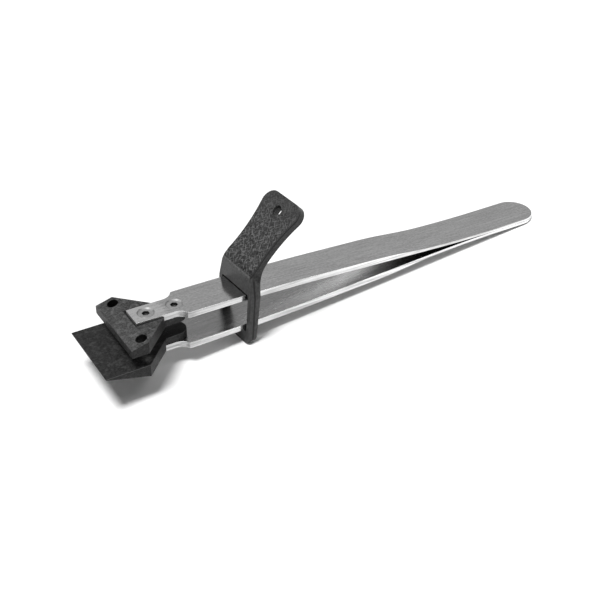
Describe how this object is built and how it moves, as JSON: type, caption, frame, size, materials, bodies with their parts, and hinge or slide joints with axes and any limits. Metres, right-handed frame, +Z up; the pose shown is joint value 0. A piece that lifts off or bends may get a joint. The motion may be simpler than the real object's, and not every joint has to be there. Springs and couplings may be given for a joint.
{
  "type": "locking flat-jaw tongs",
  "caption": "Spring-steel tongs with wide black plastic jaws, held by countersunk screws, and a sliding lock ring with a thumb lever.",
  "frame": {"origin": "centre of the base of the bounding box: the tool lies on the lock ring's lower edge and on its heel", "axes": "+X back from the jaws to the heel, +Y across the width, +Z up; the strips rise towards the jaws by 4.79 degrees"},
  "size_m": [0.1302, 0.0208, 0.0314],
  "materials": {
    "strip_steel": "fine satin along the faces, bright polished edges",
    "screw_steel": "polished",
    "jaw_plastic": "matt, faintly mottled",
    "lock_plastic": "moulded, mottled front face and smooth rim"
  },
  "bodies": {
    "lower_arm": {"lower_arm": "strip_steel", "lower_jaw": "jaw_plastic", "lower_jaw_screw_front": "screw_steel", "lower_jaw_screw_rear": "screw_steel"},
    "upper_arm": {"upper_arm": "strip_steel", "upper_jaw": "jaw_plastic", "upper_jaw_screw_front": "screw_steel", "upper_jaw_screw_rear": "screw_steel"},
    "slide_lock": {"slide_lock": "lock_plastic"}
  },
  "joints": [
    {"name": "arm_flex", "type": "hinge", "parent": "lower_arm", "child": "upper_arm", "pos_m": [0.04888, 0, 0.00207], "axis": [0, -1, 0], "range_deg": [0, 1.68], "stiffness_Nm_per_rad": 4.6, "springref_deg": -0.57},
    {"name": "lock_slide", "type": "slide", "parent": "lower_arm", "child": "slide_lock", "axis": [0.9965, 0, -0.0836], "range_m": [-0.009, 0.08]}
  ]
}
